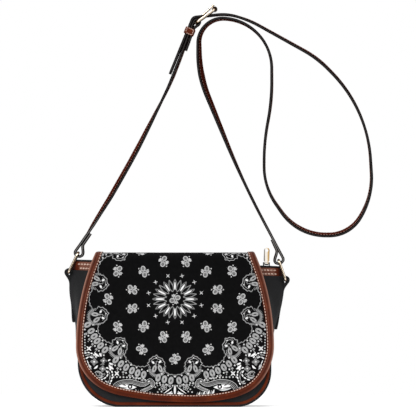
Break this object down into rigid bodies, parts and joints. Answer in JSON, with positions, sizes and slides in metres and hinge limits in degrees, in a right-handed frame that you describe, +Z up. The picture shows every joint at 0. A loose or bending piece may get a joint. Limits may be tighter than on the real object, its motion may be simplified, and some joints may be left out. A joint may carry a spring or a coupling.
{
  "type": "saddle handbag",
  "caption": "Soft saddle handbag with a rounded printed flap over a zipped mouth, flared gusset sides, leather edge binding and a buckled shoulder strap on two metal rings.",
  "frame": {"origin": "centre of the base, on the surface the bag stands on", "axes": "+X to the right when the flap is faced, +Y from the flap to the back, +Z up"},
  "size_m": [0.3282, 0.0881, 0.4293],
  "materials": {
    "black_canvas": "matt woven cloth, the flap printed in pale grey",
    "black_leather": "soft semi-matt leather",
    "brown_leather": "smooth red-brown leather with cream stitching",
    "lining_cloth": "plain woven cloth",
    "zip_cloth": "woven tape",
    "gold_metal": "polished pale gold",
    "snap_metal": "plated steel",
    "board": "stiff fibre board"
  },
  "bodies": {
    "bag": {"front_panel": "black_canvas", "back_panel": "black_canvas", "front_binding": "brown_leather", "back_binding": "brown_leather", "gusset": "black_canvas", "base_board": "board", "lining": "lining_cloth", "mouth_band_left": "brown_leather", "mouth_band_right": "brown_leather", "zip_facing_front": "black_canvas", "zip_facing_back": "black_canvas", "zip_tape_front": "zip_cloth", "zip_tape_back": "zip_cloth", "zip_teeth_front": "gold_metal", "zip_teeth_back": "gold_metal", "zip_end_tab_left": "black_leather", "zip_end_tab_right": "black_leather", "flap_rear": "black_canvas", "flap_rear_binding": "brown_leather", "flap_seam_strip": "black_canvas", "magnet_socket": "snap_metal", "magnet_washer": "snap_metal", "side_tab_left": "black_leather", "side_tab_right": "black_leather"},
    "flap_top": {"flap_top": "black_canvas", "flap_top_binding": "brown_leather"},
    "flap_front": {"flap_panel": "black_canvas", "flap_lining": "lining_cloth", "flap_binding": "brown_leather", "magnet_stud": "snap_metal"},
    "ring_left": {"ring_left": "gold_metal"},
    "ring_right": {"ring_right": "gold_metal"},
    "strap": {"strap_short": "brown_leather", "strap_long": "brown_leather", "buckle_frame": "gold_metal"},
    "keeper": {"strap_keeper": "brown_leather"},
    "prong": {"buckle_prong": "gold_metal"},
    "roller": {"buckle_roller": "gold_metal"},
    "slider": {"zip_slider": "gold_metal"},
    "pull": {"zip_pull": "gold_metal"}
  },
  "joints": [
    {"name": "flap_lift", "type": "hinge", "parent": "bag", "child": "flap_top", "pos_m": [0, 0.03745, 0.13974], "axis": [-1, 0, 0], "range_deg": [0, 18]},
    {"name": "flap_fold", "type": "hinge", "parent": "flap_top", "child": "flap_front", "pos_m": [0, -0.03669, 0.15125], "axis": [-1, 0, 0], "range_deg": [0, 140]},
    {"name": "ring_left_swing", "type": "hinge", "parent": "bag", "child": "ring_left", "pos_m": [-0.11384, 0, 0.14219], "axis": [0, -1, 0], "range_deg": [-6, 6]},
    {"name": "strap_sway", "type": "hinge", "parent": "ring_left", "child": "strap", "pos_m": [-0.10353, 0, 0.16332], "axis": [0, -1, 0], "range_deg": [-7, 7]},
    {"name": "ring_right_swing", "type": "hinge", "parent": "bag", "child": "ring_right", "pos_m": [0.11798, 0, 0.13412], "axis": [0, -1, 0], "range_deg": [-6.5, 6.5]},
    {"name": "zip_slide", "type": "slide", "parent": "bag", "child": "slider", "axis": [0.9995, 0, -0.0327], "range_m": [-0.1859, 0], "deforming": ["zip_teeth_front", "zip_teeth_back", "flap_top", "flap_top_binding"]},
    {"name": "pull_hinge", "type": "hinge", "parent": "slider", "child": "pull", "pos_m": [0.09754, 0, 0.1518], "axis": [0.9995, 0, -0.0327], "range_deg": [-75, 75]},
    {"name": "prong_lift", "type": "hinge", "parent": "strap", "child": "prong", "pos_m": [0.02319, 0, 0.40955], "axis": [0, -1, 0], "range_deg": [0, 12]},
    {"name": "roller_spin", "type": "hinge", "parent": "strap", "child": "roller", "pos_m": [0.04229, 0, 0.42342], "axis": [0, 1, 0], "continuous": true},
    {"name": "keeper_slide", "type": "slide", "parent": "strap", "child": "keeper", "axis": [-0.3969, 0, -0.9179], "range_m": [0, 0.026]}
  ],
  "couplings": [
    {"joint": "strap_sway", "follows": "ring_left_swing", "ratio": -1.0875},
    {"joint": "ring_right_swing", "follows": "ring_left_swing", "ratio": 0.99171}
  ]
}
